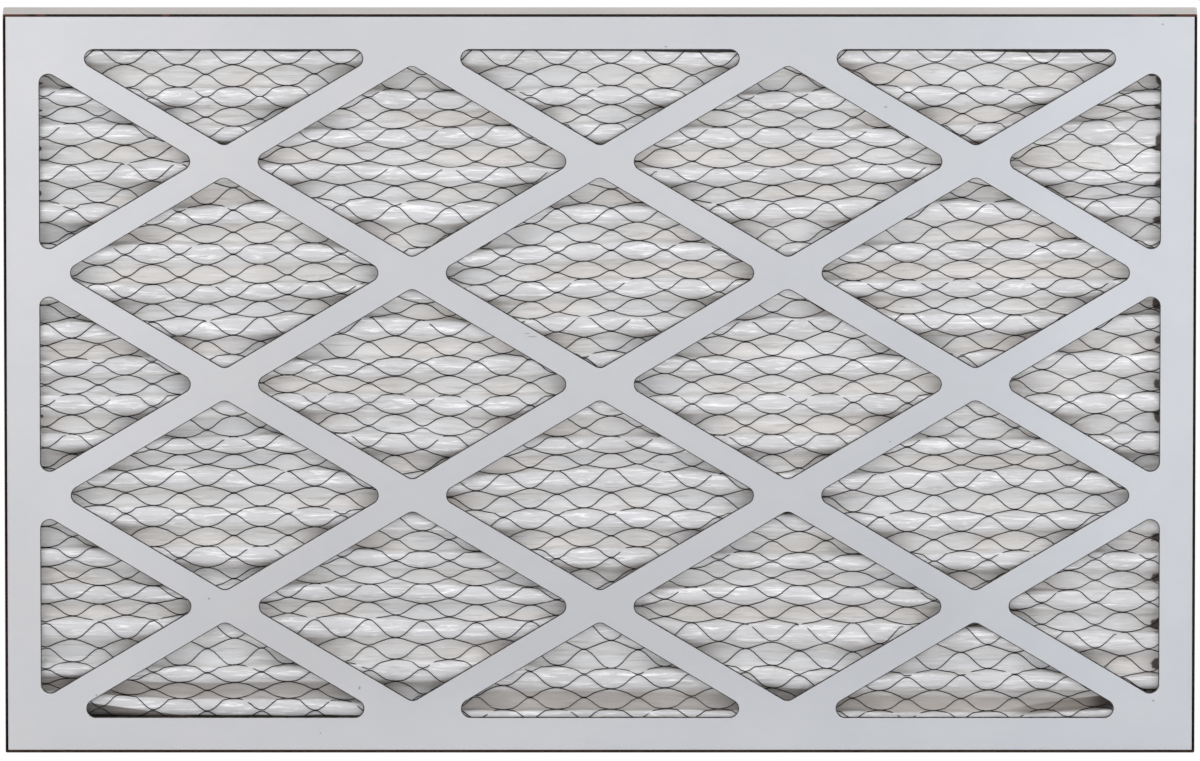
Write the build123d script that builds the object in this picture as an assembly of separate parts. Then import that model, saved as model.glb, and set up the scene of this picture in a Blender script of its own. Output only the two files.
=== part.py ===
from build123d import *
import math
import os

# Pleated panel air filter, standing on its long lower edge.
# X runs along the length, Z up the height, and the face with the steel mesh looks towards -Y.
# The origin is the middle of the lower edge. All sizes are in millimetres.

# Frame made of two nested trays of folded board
frame_length = 622.0
frame_height = 394.0
frame_depth = 19.0
board = 0.75
fold_radius = 0.7
nest_gap = 0.3
inner_wall_depth = 15.0
corner_slit = 0.4

# Glue tabs at the corners of the inner tray
tab_length = 24.0
tab_setback = 1.5
tab_taper = 4.0

# Diagonal lattice cut in both trays
border_width = 19.0
crossing_pitch_x = 196.0
crossing_pitch_z = 118.7
strap_width = 14.3
opening_radius = 4.6
rear_corner_cut = 5.0

# Folded media
media_thickness = 2.0
pleat_pitch = 20.4
pleat_depth = 9.4
first_crest = 1.3
crest_bulge = 1.0
crest_belly = 3.5
crest_height = 7.5
flank_height = 4.7
valley_rise = 0.8
# How far each crest strays down from an even spacing, from the top one on, over and over
crest_drift = [0, 0, 0, -1.9, -0.5, -1.9, 0, -0.3, -1.6, -1.3,
               -1.0, 0.3, -1.0, -0.3, 0.5, -0.3, -2.1, 1.3, 0.8, 0]

# Radii on the outer side of each fold; its inner side is a crease
lip_radius = 1.4
shoulder_radius = 3.2
valley_top_radius = 4.0
valley_root_radius = 2.4

# Expanded steel backing laid on the front of the media, with an opened-up diamond pattern
mesh_thickness = 0.5
mesh_clearance = 0.3
mesh_cell_x = 153.0
mesh_cell_z = 73.0
mesh_strand = 3.0

# Clearances between the pack and the frame
pack_front_gap = 2.0
pack_edge_gap = 0.3
seal_clearance = 0.3
seal_thickness = 1.2

# Edges whose middles are closer than this are the same edge
same_place = 0.05

# Places that follow from the sizes above
front_plane = -frame_depth / 2
rear_plane = frame_depth / 2
inner_tray_length = frame_length - 2 * (board + nest_gap)
inner_tray_height = frame_height - 2 * (board + nest_gap)
middle_height = frame_height / 2
media_front = front_plane + board + pack_front_gap + mesh_thickness + mesh_clearance
pack_room_length = inner_tray_length - 4 * board
pack_length = pack_room_length - 2 * (seal_thickness + 2 * seal_clearance)
pack_top = middle_height + inner_tray_height / 2 - board - pack_edge_gap
pack_bottom = middle_height - inner_tray_height / 2 + board + pack_edge_gap
crest_count = math.ceil(frame_height / pleat_pitch)


def lattice_openings():
    """Twelve full diamonds and twelve half ones, as flat faces in the XZ plane about the face centre."""
    window = Rectangle(frame_length - 2 * border_width, frame_height - 2 * border_width)
    slope = math.degrees(math.atan2(crossing_pitch_z, crossing_pitch_x))
    reach = 2 * (frame_length + frame_height)
    lines_each_way = math.ceil((frame_length / crossing_pitch_x + frame_height / crossing_pitch_z) / 2)
    straps = Sketch()
    for index in range(-lines_each_way, lines_each_way + 1):
        for lean in (slope, -slope):
            strap = Rectangle(reach, strap_width)
            straps += Pos(0, index * crossing_pitch_z) * Rot(0, 0, lean) * strap
    return window - straps


def lattice_cutter(openings):
    """The openings carried right through the depth of the frame."""
    outline = Plane.XZ * openings
    return Pos(0, 0, middle_height) * extrude(outline, frame_depth, both=True)


def open_tray(length, height, depth, closed_at, opens_towards):
    """A shallow tray of board: one panel at closed_at and four walls along +Y or -Y."""
    middle_y = closed_at + opens_towards * depth / 2
    block = Pos(0, middle_y, middle_height) * Box(length, depth, height)
    hollow_y = middle_y + opens_towards * board
    hollow = Pos(0, hollow_y, middle_height) * Box(length - 2 * board, depth, height - 2 * board)
    tray = block - hollow
    rim = block.faces().sort_by(Axis.Y)[0 if opens_towards > 0 else -1]
    folds = [edge for edge in tray.edges() if on_same_line(edge, rim.edges())]
    return fillet(folds, fold_radius)


def on_same_line(edge, others):
    """True where an edge's middle is the middle of one of the others."""
    place = edge.center()
    return any((place - other.center()).length < same_place for other in others)


def corner_tabs():
    """Tabs of the long walls, folded round the corners and glued inside the short walls."""
    width = inner_wall_depth - board - tab_setback
    profile = Polyline(
        (0, 0),
        (0, width),
        (-tab_length + tab_taper, width),
        (-tab_length, width - tab_taper),
        (-tab_length, tab_taper),
        (-tab_length + tab_taper, 0),
        close=True,
    )
    tab_side = Plane(origin=(0, 0, 0), x_dir=(0, 0, 1), z_dir=(1, 0, 0))
    tab = extrude(tab_side * make_face(profile), board)
    wall_inside = inner_tray_length / 2 - board
    start_y = front_plane + board
    top = middle_height + inner_tray_height / 2 - board
    upper = Pos(wall_inside - board, start_y + width, top) * tab
    tabs = [upper, mirror(upper, Plane.YZ)]
    middle_plane = Plane.XY.offset(middle_height)
    return tabs + [mirror(one, middle_plane) for one in tabs]


def front_frame():
    """Inner tray: its panel is the lattice face, and its walls run back inside the outer tray."""
    tray = open_tray(inner_tray_length, inner_tray_height, inner_wall_depth, front_plane, 1)
    for tab in corner_tabs():
        tray += tab
    openings = lattice_openings()
    return tray - lattice_cutter(fillet(openings.vertices(), opening_radius))


def corner_slits():
    """Narrow cuts where a short wall of the outer tray butts against a long one."""
    cuts = []
    slit_depth = frame_depth - board - fold_radius
    for side in (-1, 1):
        for level in (-1, 1):
            x = side * (frame_length / 2 - board / 2)
            z = middle_height + level * (frame_height / 2 - board - corner_slit / 2)
            y = front_plane + slit_depth / 2
            cuts.append(Pos(x, y, z) * Box(2 * board, slit_depth, corner_slit))
    return cuts


def rear_frame():
    """Outer tray: its walls wrap the inner tray and end level with the lattice face."""
    tray = open_tray(frame_length, frame_height, frame_depth, rear_plane, -1)
    for cut in corner_slits():
        tray -= cut
    openings = lattice_openings()
    return tray - lattice_cutter(chamfer(openings.vertices(), rear_corner_cut))


def crest_level(index):
    """Height of the upper lip of a crest."""
    drift = crest_drift[index % len(crest_drift)]
    return frame_height - first_crest - index * pleat_pitch - drift


def pleat_corners(bulge):
    """Corners of a sheet's front from above the pack to below it, as (depth, height, fold radius)."""
    corners = []
    for index in range(-1, crest_count):
        lip = crest_level(index)
        shoulder = lip - crest_height
        corners.append((bulge, lip, lip_radius))
        if bulge > 0:
            corners.append((0.0, lip - crest_belly, 0))
        corners.append((bulge, shoulder, shoulder_radius))
        corners.append((pleat_depth - valley_rise, shoulder - flank_height, valley_top_radius))
        corners.append((pleat_depth, crest_level(index + 1), valley_root_radius))
    return corners


def shifted_path(points, distance):
    """The same run of corners moved to the rear by a distance, square to every stretch."""
    moved = []
    headings = []
    for here, ahead in zip(points, points[1:]):
        headings.append((Vector(*ahead) - Vector(*here)).normalized())
    normals = [Vector(-heading.Y, heading.X) for heading in headings]
    before = [normals[0]] + normals
    after = normals + [normals[-1]]
    for point, first, second in zip(points, before, after):
        mitre = (first + second) / (1 + first.dot(second))
        moved.append(Vector(*point) + mitre * distance)
    return moved


def fold_radii(corners, on_front):
    """Radius of each fold where the front, or else the rear, is its outer side, and 0 elsewhere."""
    radii = []
    for before, here, after in zip(corners, corners[1:], corners[2:]):
        first = Vector(here[0] - before[0], here[1] - before[1])
        second = Vector(after[0] - here[0], after[1] - here[1])
        outer_is_front = first.X * second.Y - first.Y * second.X > 0
        radii.append(here[2] if outer_is_front == on_front else 0)
    return radii


def sheet_between(front_line, rear_line, length):
    """A folded sheet between two lines drawn across the pleats, carried along the length."""
    ends = [Line(front_line @ 0, rear_line @ 0), Line(front_line @ 1, rear_line @ 1)]
    section = make_face(Curve() + [front_line, rear_line] + ends)
    side = Plane(origin=(-length / 2, media_front, 0), x_dir=(0, 1, 0), z_dir=(1, 0, 0))
    return extrude(side * section, length) & pack_space(length)


def pack_space(length):
    """The room between the upper and lower walls of the inner tray."""
    height = pack_top - pack_bottom
    return Pos(0, 0, (pack_top + pack_bottom) / 2) * Box(length, frame_depth, height)


def pleated_media():
    """One sheet of lofted fibre, folded in level pleats that lean up a little."""
    corners = pleat_corners(crest_bulge)
    front = [(depth, height) for depth, height, radius in corners]
    rear = shifted_path(front, media_thickness)
    front_line = FilletPolyline(*front, radius=fold_radii(corners, True))
    rear_line = FilletPolyline(*rear, radius=fold_radii(corners, False))
    return sheet_between(front_line, rear_line, pack_length)


def mesh_gaps():
    """Diamond openings of the expanded sheet, in staggered rows."""
    cell_width = mesh_cell_x * mesh_cell_z / math.hypot(mesh_cell_x, mesh_cell_z)
    strand_share = 1 - mesh_strand / cell_width
    half_x = mesh_cell_x / 2 * strand_share
    half_z = mesh_cell_z / 2 * strand_share
    diamond = Polyline((half_x, 0), (0, half_z), (-half_x, 0), (0, -half_z), close=True)
    gap = extrude(Plane.XZ * make_face(diamond), frame_depth, both=True)
    columns = int(pack_length / mesh_cell_x)
    rows = int(2 * (pack_top - pack_bottom) / mesh_cell_z) - 1
    gaps = []
    for row in range(rows):
        z = middle_height + (row - (rows - 1) / 2) * mesh_cell_z / 2
        in_row = columns - row % 2
        for column in range(in_row):
            x = (column - (in_row - 1) / 2) * mesh_cell_x
            gaps.append(Pos(x, 0, z) * gap)
    return gaps


def support_mesh():
    """Expanded steel sheet folded together with the media, flat over the bulge of each crest."""
    folds = [(depth, height) for depth, height, radius in pleat_corners(0.0)]
    rear = shifted_path(folds, -mesh_clearance)
    front = shifted_path(folds, -mesh_clearance - mesh_thickness)
    sheet = sheet_between(Polyline(*front), Polyline(*rear), pack_length)
    return sheet - mesh_gaps()


def end_seal(side):
    """Strip of adhesive that closes the pleat ends against a short wall."""
    x = side * (pack_length / 2 + seal_clearance + seal_thickness / 2)
    width = media_thickness + pleat_depth
    y = media_front + width / 2
    strip = Box(seal_thickness, width, pack_top - pack_bottom)
    return Pos(x, y, (pack_top + pack_bottom) / 2) * strip


os.makedirs("parts", exist_ok=True)
export_step(front_frame(), "parts/front_frame.step")
export_step(rear_frame(), "parts/rear_frame.step")
export_step(pleated_media(), "parts/pleated_media.step")
export_step(support_mesh(), "parts/support_mesh.step")
export_step(end_seal(-1), "parts/end_seal_left.step")
export_step(end_seal(1), "parts/end_seal_right.step")
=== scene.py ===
# %% [markdown]
# # A pleated panel air filter, dressed for a photograph
#
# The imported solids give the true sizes: two nested board trays, a folded fibre sheet, an expanded
# steel mesh and two strips of adhesive. This script gives them their finish and their fine shape.
# All lengths below are in metres unless a name ends in _mm.

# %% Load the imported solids
import bpy
import bmesh
import math
from bisect import bisect_left
from mathutils import Vector, Matrix, noise


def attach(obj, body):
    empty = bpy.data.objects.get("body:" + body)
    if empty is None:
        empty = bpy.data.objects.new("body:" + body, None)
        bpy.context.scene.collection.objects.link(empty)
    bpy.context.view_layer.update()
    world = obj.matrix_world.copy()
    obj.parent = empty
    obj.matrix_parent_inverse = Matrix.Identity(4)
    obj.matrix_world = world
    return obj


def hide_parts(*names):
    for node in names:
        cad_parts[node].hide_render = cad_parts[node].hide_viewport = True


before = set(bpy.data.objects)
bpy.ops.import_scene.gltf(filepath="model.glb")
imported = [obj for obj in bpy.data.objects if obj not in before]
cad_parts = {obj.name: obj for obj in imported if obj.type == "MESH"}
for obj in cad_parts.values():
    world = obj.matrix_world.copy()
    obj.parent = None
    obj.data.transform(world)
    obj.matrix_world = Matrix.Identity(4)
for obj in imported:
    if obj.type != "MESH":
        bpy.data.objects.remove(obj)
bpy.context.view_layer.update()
print("solids:", sorted(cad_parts))

# %% [markdown]
# ## Writing shader maths in plain Python
#
# A material is a net of small nodes. Joining them by hand is slow to read, so one small class wraps
# a socket and lets + - * / build the Math nodes. Any other node comes from the add method.


# %% A socket that can be added and multiplied
class Socket:
    """A shader value: Python arithmetic on it adds Math nodes."""

    def __init__(self, finish, link):
        self.finish = finish
        self.link = link

    def maths(self, operation, *others):
        sources = dict(enumerate((self,) + others))
        return self.finish.add("ShaderNodeMath", {"operation": operation}, sources)

    def __add__(self, other):
        return self.maths("ADD", other)

    def __sub__(self, other):
        return self.maths("SUBTRACT", other)

    def __mul__(self, other):
        return self.maths("MULTIPLY", other)

    def __truediv__(self, other):
        return self.maths("DIVIDE", other)

    def __rsub__(self, other):
        return self * -1 + other

    __radd__ = __add__
    __rmul__ = __mul__

    def between(self, low, high):
        """0 at low and 1 at high, with a soft start and end; high may be the smaller one."""
        settings = {"interpolation_type": "SMOOTHSTEP", "clamp": True}
        sources = {"Value": self, "From Min": low, "From Max": high}
        return self.finish.add("ShaderNodeMapRange", settings, sources)

    def inside(self, low_end, low, high, high_end):
        """1 from low to high, fading to 0 at both ends."""
        return self.between(low_end, low) * self.between(high_end, high)


class Finish:
    """A material whose nodes are made by name, with a Principled shader at its end."""

    def __init__(self, name, roughness, **constants):
        self.material = bpy.data.materials.new(name)
        self.material.use_nodes = True
        self.tree = self.material.node_tree
        self.shader = self.tree.nodes["Principled BSDF"]
        self.shader.inputs["Roughness"].default_value = roughness
        for socket, value in constants.items():
            self.shader.inputs[socket.replace("_", " ")].default_value = value
        self.place = self.add("ShaderNodeTexCoord", output="Object")
        parts = self.add("ShaderNodeSeparateXYZ", {}, {"Vector": self.place}, output=None)
        self.x, self.y, self.z = (Socket(self, parts.outputs[axis]) for axis in "XYZ")

    def add(self, kind, settings=None, sources=None, output=0):
        node = self.tree.nodes.new(kind)
        for key, value in (settings or {}).items():
            setattr(node, key, value)
        for key, value in (sources or {}).items():
            if isinstance(value, Socket):
                self.tree.links.new(value.link, node.inputs[key])
            else:
                node.inputs[key].default_value = value
        return node if output is None else Socket(self, node.outputs[output])

    def noise(self, scale, stretch=(1, 1, 1), turn=0.0, detail=3.0, roughness=0.55, distortion=0.0):
        """Cloudy grey noise: scale is in lumps per metre, and turn tips it in the XZ plane."""
        mapping = {"Vector": self.place, "Scale": stretch, "Rotation": (0, turn, 0)}
        place = self.add("ShaderNodeMapping", {}, mapping)
        values = {
            "Vector": place, "Scale": scale, "Detail": detail,
            "Roughness": roughness, "Distortion": distortion,
        }
        return self.add("ShaderNodeTexNoise", {}, values)

    def mix(self, share, first, second):
        """The first colour where share is 0 and the second where it is 1."""
        sources = {0: share, 6: first, 7: second}
        return self.add("ShaderNodeMix", {"data_type": "RGBA"}, sources, output=2)

    def shade(self, colour, share):
        """A colour made darker or lighter by a share that changes over the surface."""
        grey = self.add("ShaderNodeCombineXYZ", {}, {"X": share, "Y": share, "Z": share})
        return self.add("ShaderNodeVectorMath", {"operation": "MULTIPLY"}, {0: colour, 1: grey})

    def spots(self, places, scale=500, wildness=0.9):
        """1 inside ragged ovals, each (x, z, half width, half height) in mm, and 0 elsewhere."""
        ragged = (self.noise(scale, detail=2.0) - 0.5) * wildness
        found = None
        for x_mm, z_mm, half_x, half_z in places:
            across = (self.x - x_mm * MM) / (half_x * MM)
            up = (self.z - z_mm * MM) / (half_z * MM)
            near = ((across * across + up * up).maths("SQRT") + ragged).between(1.15, 0.75)
            found = near if found is None else found.maths("MAXIMUM", near)
        return found

    def colour(self, value):
        self.tree.links.new(value.link, self.shader.inputs["Base Color"])

    def roughness(self, value):
        self.tree.links.new(value.link, self.shader.inputs["Roughness"])

    def bump(self, height, distance, strength=1.0):
        sources = {"Height": height, "Distance": distance, "Strength": strength}
        normal = self.add("ShaderNodeBump", {}, sources)
        self.tree.links.new(normal.link, self.shader.inputs["Normal"])


def srgb(red, green, blue):
    """A colour as a screen shows it, 0 to 255, in the linear values that a shader takes."""
    def linear(value):
        value = value / 255
        return value / 12.92 if value <= 0.04045 else ((value + 0.055) / 1.055) ** 2.4
    return (linear(red), linear(green), linear(blue), 1.0)


# %% [markdown]
# ## The sizes that the dressing shares with the solids
#
# The trays, the lattice and the folds are repeated here from the part's own sizes, because the
# dressing has to lie exactly where the solids do.

# %% Sizes of the frame, in millimetres
MM = 0.001
length_mm, height_mm, depth_mm = 622.0, 394.0, 19.0
board_mm, nest_gap_mm, inner_depth_mm = 0.75, 0.3, 15.0
fold_round_mm, rim_mm = 0.8, 0.5
border_mm, strap_mm = 19.0, 14.3
crossing_x_mm, crossing_z_mm = 196.0, 118.7
corner_round_mm, rear_corner_mm = 4.6, 5.0
front_mm, rear_mm = -depth_mm / 2, depth_mm / 2
middle_mm = height_mm / 2
inner_length_mm = length_mm - 2 * (board_mm + nest_gap_mm)
inner_height_mm = height_mm - 2 * (board_mm + nest_gap_mm)

# %% Sizes of the pack, in millimetres
media_mm, mesh_mm, seal_mm = 2.0, 0.5, 1.2
clearance_mm, pack_gap_mm = 0.3, 2.0
pack_half_mm = inner_length_mm / 2 - 2 * board_mm - seal_mm - 2 * clearance_mm
pack_top_mm = middle_mm + inner_height_mm / 2 - board_mm - clearance_mm
pack_bottom_mm = height_mm - pack_top_mm
media_front_mm = front_mm + board_mm + pack_gap_mm + mesh_mm + clearance_mm
pleat_pitch_mm, pleat_depth_mm, first_crest_mm = 20.4, 9.4, 1.3
crest_drift_mm = [0, 0, 0, -1.9, -0.5, -1.9, 0, -0.3, -1.6, -1.3,
                  -1.0, 0.3, -1.0, -0.3, 0.5, -0.3, -2.1, 1.3, 0.8, 0]


# %% Objects, and pieces that stand for a solid
def put_in_scene(name, data):
    """A new object for a mesh, a curve, a lamp or a camera."""
    made = bpy.data.objects.new(name, data)
    bpy.context.scene.collection.objects.link(made)
    return made


def shown_mesh(made):
    """The mesh of an object as it is shown, with its modifiers or its thickness applied."""
    shown = made.evaluated_get(bpy.context.evaluated_depsgraph_get())
    return bpy.data.meshes.new_from_object(shown)


def dressed(name, mesh, finishes, node):
    """Adds an object at the origin that rides on the filter and stands for one of its solids."""
    piece = put_in_scene(name, mesh)
    for finish in finishes:
        mesh.materials.append(finish.material)
    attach(piece, "root")
    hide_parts(node)
    print(name, "faces:", len(mesh.polygons))


# %% [markdown]
# ## Board finishes
#
# The face is thin board with a smooth, slightly blue white coat. Real coated board is never one
# flat tone: the coat is faintly mottled, it carries a few scuffs and specks from handling, and its
# cut edges show the brown core. The coat and the bare core are two materials. A third, dark one on
# the rim that the die leaves round each opening is partly crushed coat and partly painted shade,
# so that the edge of each opening reads as a thin dark line.

# %% Coated board, seen on the face
face_coat = Finish("face_coat", 0.62, Specular_IOR_Level=0.3)
mottle = face_coat.noise(26, detail=4.0).between(0.25, 0.75)
fine = face_coat.noise(700, stretch=(0.25, 1, 1), detail=2.0)
left_tone = face_coat.mix(mottle, srgb(204, 204, 207), srgb(200, 201, 205))
right_tone = face_coat.mix(mottle, srgb(200, 203, 208), srgb(196, 199, 205))
coat = face_coat.mix(face_coat.x.between(-0.2, 0.3), left_tone, right_tone)
# Painted shade: the coat is made greyer over the straps and darker towards the lower edge; it is
# also a little greyer on part of the left border
strap_painted_shade = (face_coat.z.between(0.32, 0.26) * 0.015 + 0.09) * face_coat.z.between(0.0, 0.06)
strap_painted_shade = strap_painted_shade * face_coat.x.inside(-0.305, -0.15, 0.15, 0.305)
lower_painted_shade = face_coat.z.between(0.3, 0.06) * 0.035
left_grey = face_coat.x.between(-0.28, -0.3) * face_coat.z.inside(0.03, 0.08, 0.1, 0.18) * 0.03
coat = face_coat.shade(coat, fine * 0.03 + 0.985 - (strap_painted_shade + lower_painted_shade + left_grey))
specks = face_coat.spots([
    (34.3, 376.7, 0.9, 0.35), (148.8, 344.7, 0.9, 0.4), (293.0, 388.6, 0.6, 0.5),
    (-35.3, 222.4, 2.8, 0.26), (-38.0, 224.1, 1.3, 0.26), (151.4, 166.4, 0.5, 0.4),
    (-263.4, 30.7, 0.6, 0.6), (-204.4, 82.5, 0.6, 0.6), (-125.8, 34.6, 0.6, 1.0),
    (-146.3, 10.4, 0.5, 0.5), (289.4, 27.8, 0.8, 0.5)])
face_coat.colour(face_coat.mix(specks * 0.6, coat, srgb(112, 108, 106)))
face_coat.bump(fine, 0.00004)

# %% Coated board, seen on the back
back_coat = Finish("back_coat", 0.62, Specular_IOR_Level=0.3)
back_mottle = back_coat.noise(26, detail=4.0).between(0.25, 0.75)
back_coat.colour(back_coat.mix(back_mottle, srgb(203, 205, 209), srgb(198, 200, 205)))
back_coat.bump(back_coat.noise(700, stretch=(0.25, 1, 1), detail=2.0), 0.00004)

# %% Coated board, seen on the walls
wall_coat = Finish("wall_coat", 0.7, Specular_IOR_Level=0.3)
wall_mottle = wall_coat.noise(40, stretch=(0.5, 1, 1)).between(0.3, 0.7)
wall_coat.colour(wall_coat.mix(wall_mottle, srgb(205, 200, 197), srgb(197, 194, 191)))
wall_coat.bump(wall_coat.noise(500), 0.00005)

# %% Bare core, seen on cut edges
cut_core = Finish("cut_core", 0.9, Specular_IOR_Level=0.1)
core_fibre = cut_core.noise(900).between(0.3, 0.7)
core = cut_core.mix(core_fibre, srgb(52, 40, 36), srgb(26, 21, 21))
torn = cut_core.spots([
    (-307, 394, 9, 3), (-291, 394, 2.5, 2), (-226, 394, 2, 2), (284, 394, 8, 2),
    (306, 394, 6, 3), (311, 337.8, 2, 1.6)])
cut_core.colour(cut_core.mix(torn, core, srgb(92, 62, 54)))

# %% Brown liner, seen inside the trays
liner = Finish("brown_liner", 0.85, Specular_IOR_Level=0.2)
liner_fibre = liner.noise(300, stretch=(0.2, 1, 1)).between(0.3, 0.7)
liner.colour(liner.mix(liner_fibre, srgb(150, 122, 96), srgb(120, 96, 76)))

# %% Rim where the die has pressed the coat, made dark partly as painted shade along each opening
rim_with_painted_shade = Finish("rim_with_painted_shade", 0.75, Specular_IOR_Level=0.2)
rim_fibre = rim_with_painted_shade.noise(400).between(0.35, 0.65)
# Painted shade: the rim is near black, darker than crushed coat would be, standing for the shadow
# line at the edge of each opening
rim_with_painted_shade.colour(rim_with_painted_shade.mix(rim_fibre, srgb(88, 84, 83), srgb(44, 41, 41)))

# %% [markdown]
# ## The two trays
#
# Each tray is one sheet of board: a panel with a lattice die-cut in it, and four walls folded back.
# A box without its last face is the folded blank. Solidify gives it the board's thickness, a bevel
# rounds the folds, and a Boolean takes out the openings, much as the die does. Each opening is a
# prism on the outline that the straps leave.


# %% One opening, as a flat sheet
die_reach_mm = 30


def opening(rising, falling):
    """The window between two rising and two falling straps, cut out of a single face."""
    bm = bmesh.new()
    bmesh.ops.create_grid(bm, x_segments=1, y_segments=1, size=0.5)
    window_x_mm, window_z_mm = length_mm - 2 * border_mm, height_mm - 2 * border_mm
    window = Matrix.Diagonal((window_x_mm * MM, window_z_mm * MM, 1, 1))
    place = Matrix.Translation((0, -die_reach_mm * MM, middle_mm * MM))
    upright = Matrix.Rotation(math.pi / 2, 4, "X")
    bmesh.ops.transform(bm, matrix=place @ upright @ window, verts=bm.verts)
    for index, lean in ((rising, 1), (falling, -1)):
        slope = lean * crossing_z_mm / crossing_x_mm
        for step, side in ((0, 1), (1, -1)):
            level = (index + step) * crossing_z_mm + side * strap_mm / 2 * math.hypot(slope, 1)
            bmesh.ops.bisect_plane(
                bm, geom=bm.verts[:] + bm.edges[:] + bm.faces[:],
                plane_co=(0, 0, (middle_mm + level) * MM), plane_no=(-slope * side, 0, side),
                clear_inner=True)
    return bm


# %% Its corners, taken off by planes that touch a circle in each corner
def ease_corners(bm, reach_mm, steps):
    """Rounds each corner to a radius of reach_mm, or with one step cuts it straight at reach_mm."""
    cuts = []
    for vert in bm.verts:
        sides = [edge.other_vert(vert).co - vert.co for edge in vert.link_edges]
        first, second = [side.normalized() for side in sides]
        half = first.angle(second) / 2
        inward = (first + second).normalized()
        if steps == 1:
            cuts.append((vert.co + inward * reach_mm * MM * math.cos(half), -inward))
            continue
        centre = vert.co + inward * reach_mm * MM / math.sin(half)
        for step in range(steps):
            turn = (math.pi / 2 - half) * ((2 * step + 1) / steps - 1)
            outward = Matrix.Rotation(turn, 3, "Y") @ -inward
            cuts.append((centre + outward * reach_mm * MM, outward))
    for point, outward in cuts:
        bmesh.ops.bisect_plane(bm, geom=bm.verts[:] + bm.edges[:] + bm.faces[:],
                               plane_co=point, plane_no=outward, clear_outer=True)


# %% The die: a prism for each opening
strap_numbers = range(-4, 4)
least_opening_mm2 = 100


def die(reach_mm, steps):
    """Prisms through the whole depth, with rounded or straight-cut corners."""
    bm = bmesh.new()
    count = 0
    for rising in strap_numbers:
        for falling in strap_numbers:
            one = opening(rising, falling)
            if sum(face.calc_area() for face in one.faces) > least_opening_mm2 * MM * MM:
                ease_corners(one, reach_mm, steps)
                sheet = bpy.data.meshes.new("opening")
                one.to_mesh(sheet)
                bm.from_mesh(sheet)
                bpy.data.meshes.remove(sheet)
                count += 1
            one.free()
    fronts = bm.verts[:]
    bmesh.ops.extrude_face_region(bm, geom=bm.faces[:])
    for vert in fronts:
        vert.co.y += 2 * die_reach_mm * MM
    bmesh.ops.recalc_face_normals(bm, faces=bm.faces)
    mesh = bpy.data.meshes.new("die")
    bm.to_mesh(mesh)
    bm.free()
    print("die with", count, "prisms")
    return mesh


# %% A folded tray, and the places of its finishes in their list
COAT, LINER, CORE, RIM, WALL = range(5)


def tray(name, size_x_mm, size_z_mm, size_y_mm, closed_mm, towards, die_mesh, finishes):
    """Board folded into a shallow box, open at the back, with the lattice cut in its panel."""
    bm = bmesh.new()
    bmesh.ops.create_cube(bm, size=1.0)
    centre_y = (closed_mm + towards * size_y_mm / 2) * MM
    place = Matrix.Translation((0, centre_y, middle_mm * MM))
    scale = Matrix.Diagonal((size_x_mm * MM, size_y_mm * MM, size_z_mm * MM, 1))
    bmesh.ops.transform(bm, matrix=place @ scale, verts=bm.verts)
    back = [f for f in bm.faces if f.normal.y * towards > 0.9]
    bmesh.ops.delete(bm, geom=back, context="FACES_ONLY")
    panel = [f for f in bm.faces if f.normal.y * towards < -0.9][0]
    corners = [e for e in bm.edges if e not in panel.edges[:] and not e.is_boundary]
    bmesh.ops.bevel(bm, geom=list(panel.edges) + corners, offset=fold_round_mm * MM,
                    offset_type="OFFSET", affect="EDGES", segments=3, profile=0.5, material=-1)
    bmesh.ops.recalc_face_normals(bm, faces=bm.faces)
    mesh = bpy.data.meshes.new(name)
    bm.to_mesh(mesh)
    bm.free()
    work = put_in_scene(name + "_blank", mesh)
    thick = work.modifiers.new("board", "SOLIDIFY")
    thick.thickness = board_mm * MM
    thick.offset = -1.0
    thick.use_even_offset = True
    cutter = put_in_scene(name + "_die", die_mesh)
    cut = work.modifiers.new("openings", "BOOLEAN")
    cut.operation = "DIFFERENCE"
    cut.solver = "EXACT"
    cut.object = cutter
    for finish in finishes:
        mesh.materials.append(finish.material)
    done = shown_mesh(work)
    done.name = name
    bpy.data.objects.remove(work)
    bpy.data.objects.remove(cutter)
    done.materials.clear()
    crush_rims(done, closed_mm)
    return done


# %% The rims of the openings
least_rim_angle = math.radians(50)


def crush_rims(mesh, panel_mm):
    """Presses a small slope round each opening, on the outer side of the panel."""
    bm = bmesh.new()
    bm.from_mesh(mesh)
    rims = []
    for edge in bm.edges:
        on_panel = all(abs(vert.co.y / MM - panel_mm) < 0.01 for vert in edge.verts)
        if on_panel and len(edge.link_faces) == 2 and edge.calc_face_angle() > least_rim_angle:
            rims.append(edge)
    bmesh.ops.bevel(bm, geom=rims, offset=rim_mm * MM, offset_type="OFFSET", affect="EDGES",
                    segments=2, profile=0.5, material=RIM)
    bm.to_mesh(mesh)
    bm.free()


# %% Which finish each face of a tray has
def paint_board(mesh, size_x_mm, size_z_mm, panel_mm, towards, open_mm):
    """Coat on the panel, liner inside it, bare core on cut edges, and wall coat on the walls."""
    half_x, half_z = size_x_mm / 2, size_z_mm / 2
    for face in mesh.polygons:
        x, y, z = face.center / MM
        from_wall = min(half_x - abs(x), half_z - abs(z - middle_mm))
        from_panel = abs(y - panel_mm)
        # Painted shade: the outer fold of the front tray takes the dark core, standing for the
        # shadow in the gap between the two trays
        front_fold_painted_shade = towards > 0 and from_panel < 0.7 and from_wall < 0.4
        if abs(y - open_mm) < 0.3 or front_fold_painted_shade:
            face.material_index = CORE
        elif from_wall < 0.3:
            face.material_index = WALL
        elif face.material_index == RIM:
            continue
        elif from_panel < 0.3 and face.normal.y * towards < -0.8:
            face.material_index = COAT
        elif from_panel < board_mm + 0.05 and abs(face.normal.y) < 0.5:
            face.material_index = CORE
        else:
            face.material_index = LINER


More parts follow.
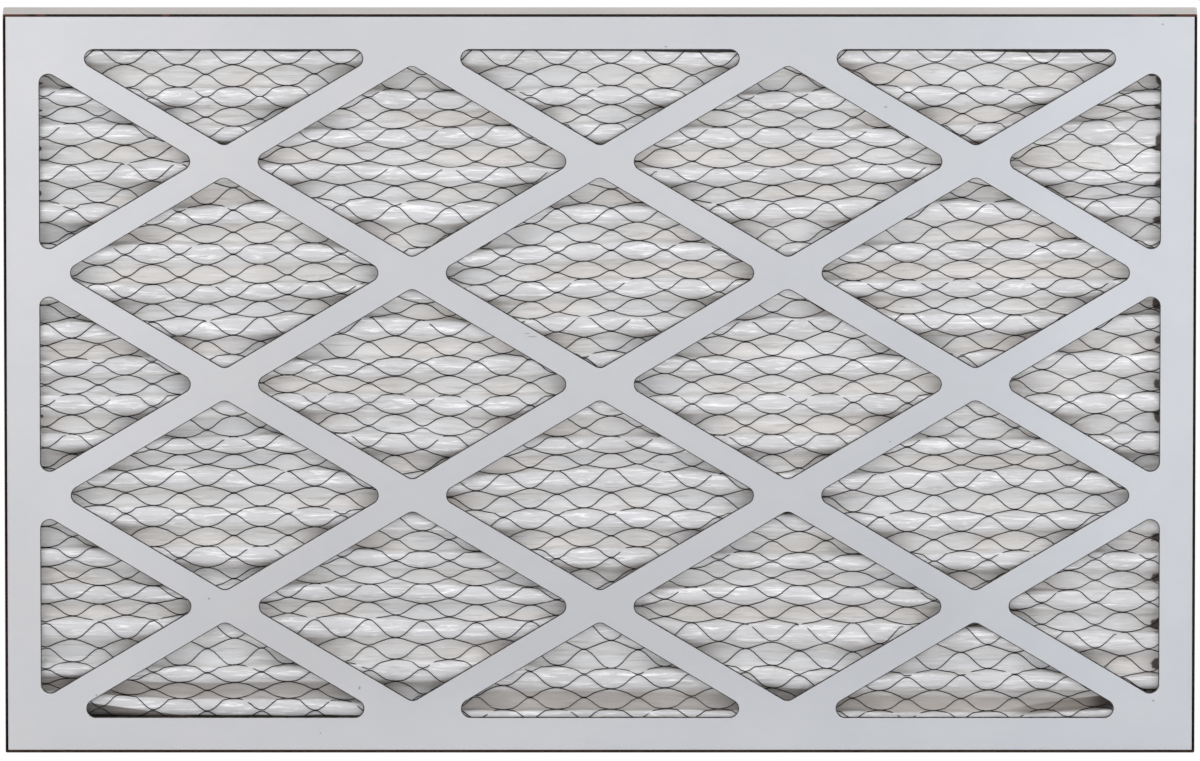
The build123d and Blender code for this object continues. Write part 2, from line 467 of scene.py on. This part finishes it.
# %% Make both trays
board_finishes = [face_coat, liner, cut_core, rim_with_painted_shade, wall_coat]
front_mesh = tray("lattice_face", inner_length_mm, inner_height_mm, inner_depth_mm, front_mm, 1,
                  die(corner_round_mm, 9), board_finishes)
paint_board(front_mesh, inner_length_mm, inner_height_mm, front_mm, 1, front_mm + inner_depth_mm)
dressed("lattice_face", front_mesh, board_finishes, "front_frame")
rear_mesh = tray("outer_tray", length_mm, height_mm, depth_mm, rear_mm, -1,
                 die(rear_corner_mm, 1), board_finishes)
paint_board(rear_mesh, length_mm, height_mm, rear_mm, -1, front_mm)
dressed("outer_tray", rear_mesh, [back_coat] + board_finishes[1:], "rear_frame")

# %% [markdown]
# ## The shape of the folded pack
#
# The fibre sheet and the steel mesh are folded together, so both follow one shape. The function
# fold_point gives the point of that shape for a place on the flat sheet: along_mm is measured
# down the sheet, over every fold, and x_mm across it. Real pleats are never ruled straight, so each
# lip wanders a little along its length, and a few places are pulled out of line.

# %% Lips of the crests, from the top down
pleat_count = 20
stray_step_mm = 72
fine_stray_mm = 0.7
# How far each lip strays up from its level, every 72 mm along it, measured on the photograph
stray_mm = [
    (0.0, 0.0, 0.0, 0.0, 0.0, 0.0, 0.0, 0.0, 0.0),
    (4.0, 4.4, 4.2, 4.0, 4.2, 3.8, 4.0, 4.2, 4.0),
    (1.0, 1.2, 1.6, -0.8, 1.9, -1.6, 2.1, 1.4, -0.3),
    (0.5, 0.5, -2.1, -1.1, 0.7, -1.2, -1.8, 1.6, 2.7),
    (1.2, 2.2, 1.0, -0.3, -0.8, -0.8, 0.9, -0.3, -3.1),
    (-1.0, -2.6, 1.0, -0.2, -2.1, 0.3, 1.7, 0.2, 2.7),
    (-0.4, -0.4, -0.5, -2.8, 0.7, 0.3, -0.3, 1.4, 2.1),
    (-1.2, -1.8, -0.1, -2.2, 1.4, 1.0, 0.5, 1.1, 1.3),
    (-2.5, -1.4, 1.5, -1.9, 0.9, -1.2, 2.0, 1.4, 1.2),
    (-2.1, 0.5, -1.8, -0.8, 1.8, -1.2, -0.2, 2.7, 1.1),
    (0.0, -0.2, 0.9, -0.8, -0.6, 0.0, 0.0, -0.4, 1.0),
    (1.0, -1.3, 1.4, -0.3, -0.6, 0.4, 0.2, -2.0, 1.4),
    (0.2, 1.4, 0.7, -2.2, 1.6, -0.9, -0.4, 0.9, -1.2),
    (2.0, 1.7, 1.2, -0.7, 0.4, -1.0, -1.9, -1.0, -0.7),
    (1.3, 2.0, 1.8, -1.5, 1.3, -1.0, -2.3, -0.4, -1.2),
    (1.9, 0.5, 1.7, 1.1, -1.5, 0.4, -0.3, -2.4, -1.3),
    (1.2, 2.4, 2.6, 0.5, 1.4, -0.6, -0.7, -3.6, -5.9),
    (2.0, -0.5, 1.0, 2.7, -1.8, -0.3, -3.7, -2.6, -5.0),
    (6.5, 2.2, 2.0, -3.5, -3.7, -3.7, -4.5, -4.6, -2.0),
    (0.0, 0.0, 0.0, 0.0, 0.0, 0.0, 0.0, 0.0, 0.0)]


# %% Smooth runs between given values
def eased(t):
    """0 to 1 with a soft start and end."""
    return t * t * (3 - 2 * t)


def smooth_between(points, share):
    """A point on a smooth line through a run of points; share counts runs from the first one."""
    index = min(max(int(share), 0), len(points) - 2)
    t = share - index
    before = points[max(index - 1, 0)]
    here, ahead = points[index], points[index + 1]
    after = points[min(index + 2, len(points) - 1)]
    blend = []
    for a, b, c, d in zip(before, here, ahead, after):
        bend = 2 * a - 5 * b + 4 * c - d
        twist = -a + 3 * b - 3 * c + d
        blend.append(b + 0.5 * t * ((c - a) + t * (bend + t * twist)))
    return blend


# %% One pleat
def lip_mm(index, x_mm):
    """Height of a crest's upper lip at a place along it."""
    drift = crest_drift_mm[index % len(crest_drift_mm)]
    strays = stray_mm[min(max(index, 0), len(stray_mm) - 1)]
    place = min(max(x_mm / stray_step_mm + 4, 0), 8)
    stray = smooth_between([(value,) for value in strays], place)[0]
    stray += noise.noise(Vector((x_mm / 24, index * 3.1, 7))) * fine_stray_mm
    return height_mm - first_crest_mm - index * pleat_pitch_mm - drift + stray


def slack_share(index, x_mm):
    """How far a pleat is pulled flat, from 0 to 1: only one is, near the upper right corner."""
    slack_pleat, starts_mm, run_mm, flattest = 3, 258, 14, 0.75
    if index != slack_pleat:
        return 0.0
    return flattest * eased(min(max((x_mm - starts_mm) / run_mm, 0), 1))


def section_mm(index, x_mm):
    """One pleat's section at x: corners as (depth, height), from a lip down to the next one.

    The first five corners are the crest, the next three the flank and the rest the valley, whose
    roof comes forward under the next lip.
    """
    top, bottom = lip_mm(index, x_mm), lip_mm(index + 1, x_mm)
    room = (top - bottom) / pleat_pitch_mm
    swell = noise.noise(Vector((x_mm / 60, index * 2.3, 21)))
    slack = slack_share(index, x_mm)
    deep = pleat_depth_mm * (1 + 0.05 * swell)
    corners = [
        (0.9, top),
        (0.0, top - 1.8 * room),
        (-0.1, top - 3.8 * room),
        (0.3, top - (6.3 + 0.4 * swell) * room),
        (1.6, top - (8.0 + 0.5 * swell) * room),
        (5.6, top - (10.4 + 0.5 * swell) * room),
        (8.2, top - 12.4 * room),
        (deep - 0.2, bottom + 4.5 * room),
        (deep, bottom + 1.6 * room),
        (deep - 1.2, bottom + 0.2),
        (4.5, bottom - 0.1),
        (0.9, bottom),
    ]
    return [(depth * (1 - slack), height) for depth, height in corners]


# %% Lengths along a pleat in the middle of the face
usual_section = section_mm(5, 0.0)
fold_arc_mm = [0.0]
for (d0, h0), (d1, h1) in zip(usual_section, usual_section[1:]):
    fold_arc_mm.append(fold_arc_mm[-1] + math.hypot(d1 - d0, h1 - h0))
sheet_per_pleat_mm = 33.3
print("sheet in one pleat, mm:", round(fold_arc_mm[-1], 1))


# %% From the flat sheet to the folded one
def fold_point(along_mm, x_mm):
    """Depth and height of the pack's front for a place on the flat sheet."""
    index = math.floor(along_mm / sheet_per_pleat_mm)
    arc = (along_mm / sheet_per_pleat_mm - index) * fold_arc_mm[-1]
    run = min(max(bisect_left(fold_arc_mm, arc), 1), len(fold_arc_mm) - 1)
    part = (arc - fold_arc_mm[run - 1]) / (fold_arc_mm[run] - fold_arc_mm[run - 1])
    return smooth_between(section_mm(index, x_mm), run - 1 + min(max(part, 0), 1))


def folded(along_mm, x_mm, proud_mm=0.0):
    """The point in space for a place on the flat sheet, raised from the fibre by proud_mm."""
    depth, height = fold_point(along_mm, x_mm)
    if proud_mm:
        d0, h0 = fold_point(along_mm - 0.4, x_mm)
        d1, h1 = fold_point(along_mm + 0.4, x_mm)
        run = max(math.hypot(d1 - d0, h1 - h0), 1e-6)
        depth += proud_mm * (h1 - h0) / run
        height += proud_mm * -(d1 - d0) / run
    height = min(max(height, pack_bottom_mm), pack_top_mm)
    return Vector((x_mm, media_front_mm + depth, height)) * MM


# %% [markdown]
# ## The fibre sheet
#
# Lofted polyester is soft and matt. It swells a little through each opening of the mesh, and long
# fibres leave faint streaks that run with the pleats. The swelling is real shape, because it
# catches the light; the finest fibres are left to the material.

# %% Where the mesh holds the sheet down
row_mm, node_mm = 8.9, 28.15
first_row_mm, first_node_mm = 5 * sheet_per_pleat_mm + 1.3, 5.75
mesh_slant = 0.004


def mesh_place(along_mm, x_mm):
    """Rows and columns of the mesh's knots, counted as decimals."""
    level_mm = along_mm + x_mm * mesh_slant
    return (level_mm - first_row_mm) / row_mm, (x_mm - first_node_mm) / node_mm


def swelling_mm(along_mm, x_mm):
    """How far the fibre stands out: most between the knots, with fine streaks and soft lumps."""
    row, column = mesh_place(along_mm, x_mm)
    held = abs(math.sin(math.pi * (row / 2 + column)) * math.sin(math.pi * (row / 2 - column)))
    streak = noise.noise(Vector((x_mm / 30, along_mm / 2.6, 3)))
    lump = noise.noise(Vector((x_mm / 16, along_mm / 9, 11)))
    return 0.55 * held + 0.16 * streak + 0.22 * lump


# %% The two skins of the sheet, which starts and ends part of the way through a pleat
start_share, end_share = 0.15, 0.72


def skin(bm, across, down, swell):
    """A grid laid over the folds: the front one swells, and the rear one lies behind it."""
    first = start_share * sheet_per_pleat_mm
    last = (pleat_count - end_share) * sheet_per_pleat_mm
    made = bmesh.ops.create_grid(bm, x_segments=across, y_segments=down, size=0.5)
    for vert in made["verts"]:
        x_mm = vert.co.x * 2 * pack_half_mm
        along_mm = first + (0.5 - vert.co.y) * (last - first)
        proud_mm = swelling_mm(along_mm, x_mm) if swell else -media_mm
        vert.co = folded(along_mm, x_mm, proud_mm)
    return {face for vert in made["verts"] for face in vert.link_faces}


media_bm = bmesh.new()
skin(media_bm, 160, 390, True)
rear_faces = skin(media_bm, 116, 280, False)
bmesh.ops.reverse_faces(media_bm, faces=list(rear_faces))
for face in media_bm.faces:
    face.smooth = True
    face.material_index = 1 if face in rear_faces else 0
media_mesh = bpy.data.meshes.new("fibre_sheet")
media_bm.to_mesh(media_mesh)
media_bm.free()

# %% Fibre finish: a tone for the crest, and lighter tones for the slope under each lip and for the valley, as painted light against their shade
fibre = Finish("lofted_fibre", 0.95, Specular_IOR_Level=0.15)
clouds = fibre.noise(42, stretch=(0.4, 1, 1.6), detail=3.0).between(0.35, 0.65)
tints = fibre.noise(24, stretch=(0.5, 1, 1.4), detail=2.0).between(0.4, 0.6)
crest_tone = fibre.mix(clouds, srgb(199, 199, 201), srgb(209, 209, 212))
# Painted light: the slope under each lip and the valley are paler than the crest, to lift the shade
# that falls there
under_lip_painted_light = fibre.mix(clouds, srgb(222, 221, 220), srgb(233, 232, 232))
cool_valley = fibre.mix(clouds, srgb(208, 209, 211), srgb(221, 222, 224))
warm_valley = fibre.mix(clouds, srgb(208, 205, 202), srgb(221, 218, 216))
slack_patch = fibre.x.between(0.25, 0.268) * fibre.z.inside(0.307, 0.313, 0.331, 0.337)
under = fibre.y.between(-0.0056, -0.0042) * (1 - slack_patch * 0.7)
tone = fibre.mix(under, crest_tone, under_lip_painted_light)
valley_tone = fibre.mix(tints, cool_valley, warm_valley)
tone = fibre.mix(fibre.y.between(0.0006, 0.0026), tone, valley_tone)

# %% Fibre finish: pale fibre streaks, made brightest on the crest as painted highlight, and darker fibres that lie across the pleats
streaks = fibre.noise(300, stretch=(0.16, 0.6, 1.5), turn=0.08,
                      detail=5.0, roughness=0.7, distortion=0.8)
slants = fibre.noise(260, stretch=(0.14, 0.6, 1.6), turn=-0.25,
                     detail=4.0, roughness=0.65, distortion=0.5)
wisps = fibre.noise(420, stretch=(0.1, 1, 1), detail=3.0)
painted_highlight_share = 1 - fibre.y.between(-0.0045, 0.0015) * 0.6
# Painted highlight: the pale streaks show fully on the crest and fade deeper in the fold
tone = fibre.mix(streaks.between(0.48, 0.7) * painted_highlight_share, tone, srgb(249, 248, 250))
tone = fibre.mix(slants.between(0.52, 0.7) * 0.55, tone, srgb(178, 174, 171))

# %% Fibre finish: painted shade of dark gaps, with brown board in them, where the pleat ends leave the left and right borders
side_gap_painted_shade = fibre.spots([
    (289.0, 360.0, 4.2, 1.3), (292.5, 357.2, 2.8, 3.8), (292.5, 342.3, 3.6, 1.8),
    (292.5, 325.4, 3.2, 5.0), (292.5, 322.0, 5.2, 1.8), (292.5, 302.9, 3.6, 3.4),
    (292.5, 282.8, 4.2, 3.4), (292.5, 238.0, 4.6, 4.8), (292.5, 218.3, 3.0, 3.2),
    (292.5, 194.5, 3.6, 3.0), (292.5, 178.0, 3.4, 4.6), (292.5, 112.6, 4.6, 2.9),
    (292.5, 91.0, 4.2, 2.9), (292.5, 66.2, 4.6, 3.4), (292.5, 44.8, 4.4, 3.3),
    (-292.7, 354.7, 2.0, 0.6), (-292.7, 340.4, 2.2, 0.8), (-292.7, 320.2, 1.8, 1.6),
    (-292.7, 296.2, 1.5, 2.0), (-292.7, 178.0, 2.0, 1.8)], scale=350, wildness=0.8)
tone = fibre.mix(side_gap_painted_shade * 0.88, tone, srgb(58, 36, 32))

# %% Fibre finish: painted shadow in thin gaps under the upper border and over the lower one
wander = (fibre.noise(15, stretch=(1, 0, 0), detail=4.0) - 0.5) * 0.0045
loose_top = fibre.x.inside(0.0, 0.05, 0.1, 0.12) + fibre.x.between(0.19, 0.22)
upper_painted_shadow = (fibre.z + wander * 0.6 + loose_top * 0.0009).between(0.3735, 0.3742)
lower_painted_shadow = (fibre.z + wander * 0.4).between(0.0195, 0.0189) * fibre.x.between(-0.08, -0.11)
tone = fibre.mix(upper_painted_shadow.maths("MAXIMUM", lower_painted_shadow) * 0.95, tone, srgb(40, 35, 33))

# %% Fibre finish: the lowest valley is in shade
left_band = fibre.z.inside(0.026, 0.029, 0.034, 0.038) * fibre.x.between(-0.085, -0.12)
right_band = fibre.z.between(0.019, 0.021) * (fibre.z + fibre.x * 0.012).between(0.0315, 0.0285)
bands = left_band + right_band * fibre.x.between(-0.085, -0.08)
shaded = bands * fibre.y.between(-0.0045, -0.002)
tone = fibre.mix(shaded * 0.6, tone, srgb(158, 151, 146))

# %% Fibre finish: painted shade in hollows in the lower corners, under an edge that slants down to the middle
left_edge = (fibre.x + 0.229) * -0.139 + 0.0209 + wander * 0.4
left_hollow_shade = (left_edge - fibre.z).between(0.0, 0.0006) * fibre.x.between(-0.207, -0.217)
left_shade_tone = fibre.mix(fibre.x.between(-0.236, -0.262), srgb(128, 119, 113), srgb(70, 64, 60))
tone = fibre.mix(left_hollow_shade * 0.85, tone, left_shade_tone)
right_edge = (fibre.x - 0.22) * 0.15 + 0.0222 + wander * 0.4
right_foot = fibre.z - (fibre.x - 0.235) * 0.06
right_hollow_shade = (right_edge - fibre.z).between(0.0, 0.0009) * right_foot.between(0.0198, 0.0208)
right_hollow_shade = right_hollow_shade * fibre.x.inside(0.212, 0.226, 0.271, 0.274)
right_shade_tone = fibre.mix(fibre.x.between(0.252, 0.264), srgb(146, 139, 134), srgb(62, 55, 52))
tone = fibre.mix(right_hollow_shade * 0.85, tone, right_shade_tone)
fibre.colour(fibre.shade(tone, wisps * 0.1 + 0.95))
fibre.bump(streaks * 0.7 + wisps * 0.3, 0.0005, 0.35)

# %% Fibre finish of the back, which the photograph doesn't show
back_fibre = Finish("lofted_fibre_back", 0.95, Specular_IOR_Level=0.15)
back_clouds = back_fibre.noise(42, stretch=(0.4, 1, 1.6), detail=3.0).between(0.35, 0.65)
back_streaks = back_fibre.noise(260, stretch=(0.16, 0.6, 1.5),
                                detail=5.0, roughness=0.7, distortion=0.8)
back_tone = back_fibre.mix(back_clouds, srgb(212, 212, 212), srgb(224, 224, 225))
back_fibre.colour(back_fibre.shade(back_tone, back_streaks * 0.16 + 0.92))
back_fibre.bump(back_streaks, 0.0005, 0.35)
dressed("fibre_sheet", media_mesh, [fibre, back_fibre], "pleated_media")

# %% [markdown]
# ## The expanded steel mesh
#
# Expanded metal is slit and stretched: each strand zigzags between the rows and is joined to the
# next strand at short bonds. A curve for each zigzag, with a thin round section, gives that
# pattern, and every point of it is laid on the folded shape.

# %% One zigzag strand, from bond to bond
wire_radius_mm = 0.25
steps_per_half = 6
half_node_mm = node_mm / 2
step_count = int(2 * pack_half_mm / half_node_mm) * steps_per_half
bond_gap_mm, jitter_mm = 0.44, 0.5
rise_mm, rise_change_mm = 0.45, 0.3
# Where the fibre closes over the steel, just under a lip
lip_lead_mm, lip_run_mm, sink_mm, least_grip = 1.1, 2.2, 1.2, 0.1


def zigzag_share(t):
    """0 at one bond and 1 at the next, flat at both."""
    t = min(max((t - 0.09) / 0.82, 0.0), 1.0)
    return 0.6 * t + 0.4 * eased(t)


def strand_point(row, x_mm):
    """A point of a strand: it swings over one row of the mesh, and it sinks in at some lips."""
    place = (x_mm - first_node_mm) / half_node_mm + (row % 2)
    lobe = math.floor(place)
    share = zigzag_share(place - lobe) if lobe % 2 == 0 else 1 - zigzag_share(place - lobe)
    jitter = noise.noise(Vector((x_mm / 17, row * 1.7, 31))) * jitter_mm
    along_mm = first_row_mm + (row + share) * row_mm + (0.5 - share) * bond_gap_mm + jitter
    along_mm -= x_mm * mesh_slant
    proud_mm = rise_mm + noise.noise(Vector((x_mm / 12, row * 2.1, 43))) * rise_change_mm
    from_lip = (along_mm + lip_lead_mm) % sheet_per_pleat_mm
    grip = noise.noise(Vector((x_mm / 9, along_mm / 20, 57)))
    if from_lip < lip_run_mm and grip > least_grip:
        proud_mm -= sink_mm * math.sin(math.pi * from_lip / lip_run_mm)
    return folded(along_mm, x_mm, proud_mm)


# %% All strands, as one curve with a thickness
wires = bpy.data.curves.new("strands", "CURVE")
wires.dimensions = "3D"
wires.bevel_depth = wire_radius_mm * MM
wires.bevel_resolution = 0
row_count = int((pleat_count - 1) * sheet_per_pleat_mm / row_mm)
first_row = -int(first_row_mm / row_mm)
for row in range(first_row, first_row + row_count):
    spline = wires.splines.new("POLY")
    spline.points.add(step_count)
    for step, target in enumerate(spline.points):
        x_mm = -pack_half_mm + step * 2 * pack_half_mm / step_count
        target.co = (*strand_point(row, x_mm), 1)
wire_object = put_in_scene("strands", wires)
wire_mesh = shown_mesh(wire_object)
bpy.data.objects.remove(wire_object)
for face in wire_mesh.polygons:
    face.use_smooth = True
wire_mesh.materials.clear()
print("strand triangles:", sum(len(face.vertices) - 2 for face in wire_mesh.polygons))

# %% Steel finish: lighter patches, partly the steel's own tone and partly painted glints where strands would catch the light
steel = Finish("dull_steel", 0.5, Metallic=0.6)
steel_tone_and_glint = steel.noise(120, detail=2.0)
steel.colour(steel.mix(steel_tone_and_glint.between(0.45, 0.75), srgb(30, 29, 30), srgb(76, 74, 72)))
steel.roughness(steel_tone_and_glint * 0.3 + 0.35)
dressed("expanded_mesh", wire_mesh, [steel], "support_mesh")

# %% [markdown]
# ## The adhesive strips
#
# The strips that seal the pleat ends are plain and mostly hidden, so the solids stay as they are
# and only get a finish: cream hot-melt adhesive with a slight gloss.

# %% Adhesive finish
adhesive = Finish("cream_adhesive", 0.4, Specular_IOR_Level=0.4)
adhesive_lumps = adhesive.noise(90)
adhesive.colour(adhesive.mix(adhesive_lumps, srgb(214, 206, 184), srgb(196, 186, 160)))
adhesive.bump(adhesive_lumps, 0.0008)
for name in ("end_seal_left", "end_seal_right"):
    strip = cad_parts[name]
    strip.data.materials.clear()
    strip.data.materials.append(adhesive.material)

# %% [markdown]
# ## Floor, light and camera
#
# The photograph shows the filter face on, from slightly above, against plain white. A long lens a
# good way off keeps the upright edges parallel. The floor and the world show the camera plain white
# but light the filter at a plain level.

# %% A pale floor
floor_bm = bmesh.new()
bmesh.ops.create_grid(floor_bm, x_segments=1, y_segments=1, size=20)
floor_mesh = bpy.data.meshes.new("floor")
floor_bm.to_mesh(floor_mesh)
floor_bm.free()
floor = put_in_scene("floor", floor_mesh)
floor.location = (0, 0, -0.0002)
pale_floor = Finish("pale_floor", 0.9)
floor_cloud = pale_floor.noise(3)
pale_floor.colour(pale_floor.mix(floor_cloud, srgb(226, 226, 226), srgb(232, 232, 232)))
floor_mesh.materials.append(pale_floor.material)
ray = pale_floor.add("ShaderNodeLightPath", output="Is Camera Ray")
plain_white = {"Color": (1, 1, 1, 1), "Strength": 1.0}
white = pale_floor.add("ShaderNodeEmission", {}, plain_white, output=None)
pick = pale_floor.add("ShaderNodeMixShader", output=None)
output = pale_floor.tree.nodes["Material Output"]
pale_floor.tree.links.new(ray.link, pick.inputs[0])
pale_floor.tree.links.new(pale_floor.shader.outputs[0], pick.inputs[1])
pale_floor.tree.links.new(white.outputs[0], pick.inputs[2])
pale_floor.tree.links.new(pick.outputs[0], output.inputs["Surface"])

# %% Soft studio light
world = bpy.data.worlds.new("studio")
bpy.context.scene.world = world
world.use_nodes = True
sky = world.node_tree
background = sky.nodes["Background"]
seen = sky.nodes.new("ShaderNodeLightPath")
level = sky.nodes.new("ShaderNodeMapRange")
level.inputs["To Min"].default_value = 0.62
level.inputs["To Max"].default_value = 1.0
sky.links.new(seen.outputs["Is Camera Ray"], level.inputs["Value"])
sky.links.new(level.outputs["Result"], background.inputs["Strength"])
background.inputs["Color"].default_value = (1, 1, 1, 1)


def soft_lamp(name, place, target, size, power):
    """A square lamp that faces a point."""
    lamp = bpy.data.lights.new(name, "AREA")
    lamp.shape = "SQUARE"
    lamp.size = size
    lamp.energy = power
    holder = put_in_scene(name, lamp)
    holder.location = place
    holder.rotation_mode = "QUATERNION"
    holder.rotation_quaternion = (Vector(target) - Vector(place)).to_track_quat("-Z", "Y")


soft_lamp("key", (-0.66, -0.78, 0.87), (-0.15, 0, 0.28), 0.6, 4.0)
soft_lamp("fill", (0.68, -0.8, 0.55), (0.2, 0, 0.16), 0.6, 2.5)
soft_lamp("front", (0, -1.6, 0.3), (0, 0, 0.2), 0.9, 4.8)
soft_lamp("back", (0.4, 1.6, 0.6), (0, 0, 0.2), 0.9, 9)

# %% Camera
elevation = math.radians(12)
distance = 16.0
photo_width_px, face_width_px = 1200, 1191
seen_width = length_mm * MM * photo_width_px / face_width_px
camera_data = bpy.data.cameras.new("camera")
camera_data.sensor_width = 36
camera_data.lens = camera_data.sensor_width * distance / seen_width
camera_data.clip_end = 100
camera = put_in_scene("camera", camera_data)
aim = Vector((0, 0, middle_mm * MM))
back = Vector((0, -math.cos(elevation), math.sin(elevation)))
camera.location = aim + back * distance
camera.rotation_mode = "QUATERNION"
camera.rotation_quaternion = (-back).to_track_quat("-Z", "Y")
bpy.context.scene.camera = camera
bpy.context.scene.view_settings.view_transform = "Standard"
